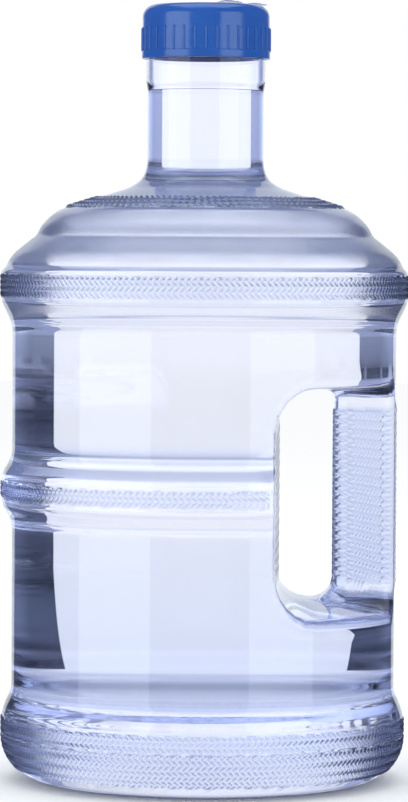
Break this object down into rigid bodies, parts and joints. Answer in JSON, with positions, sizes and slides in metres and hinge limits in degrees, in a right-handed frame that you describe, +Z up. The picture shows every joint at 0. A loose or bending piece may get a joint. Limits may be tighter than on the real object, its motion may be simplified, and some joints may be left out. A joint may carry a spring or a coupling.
{
  "type": "water jug",
  "caption": "Clear blue blow-moulded water jug with a moulded-in side grip, textured bands, a tall neck and a ribbed blue screw cap with a peel-off seal.",
  "frame": {"origin": "centre of the foot ring, on the surface that the jug stands on", "axes": "+Z up along the jug's axis, +X towards the grip, +Y away from the viewer with the grip on the right"},
  "size_m": [0.1948, 0.1948, 0.3715],
  "materials": {
    "jug_wall": "gloss",
    "water": "gloss",
    "cap_plastic": "satin",
    "liner_foam": "matte",
    "seal_film": "satin",
    "tab_film": "satin"
  },
  "bodies": {
    "jug": {"bottle": "jug_wall"},
    "liner": {"cap_liner": "liner_foam"},
    "cap": {"cap_shell": "cap_plastic"},
    "seal": {"seal_label": "seal_film"},
    "tab": {"label_tab": "tab_film"}
  },
  "joints": [
    {"name": "cap_rise", "type": "slide", "parent": "jug", "child": "liner", "axis": [0, 0, 1], "range_m": [0, 0.0601]},
    {"name": "cap_unscrew", "type": "hinge", "parent": "liner", "child": "cap", "pos_m": [0, 0, 0.36], "axis": [0, 0, 1], "range_deg": [0, 2160]},
    {"name": "seal_peel", "type": "slide", "parent": "cap", "child": "seal", "axis": [0, 0, 1], "range_m": [0, 0.04]},
    {"name": "tab_lift", "type": "hinge", "parent": "seal", "child": "tab", "pos_m": [0.0186, 0, 0.37155], "axis": [0, -1, 0], "range_deg": [0, 140]}
  ],
  "couplings": [
    {"joint": "cap_rise", "follows": "cap_unscrew", "m_per_rad": 0.0015915}
  ]
}
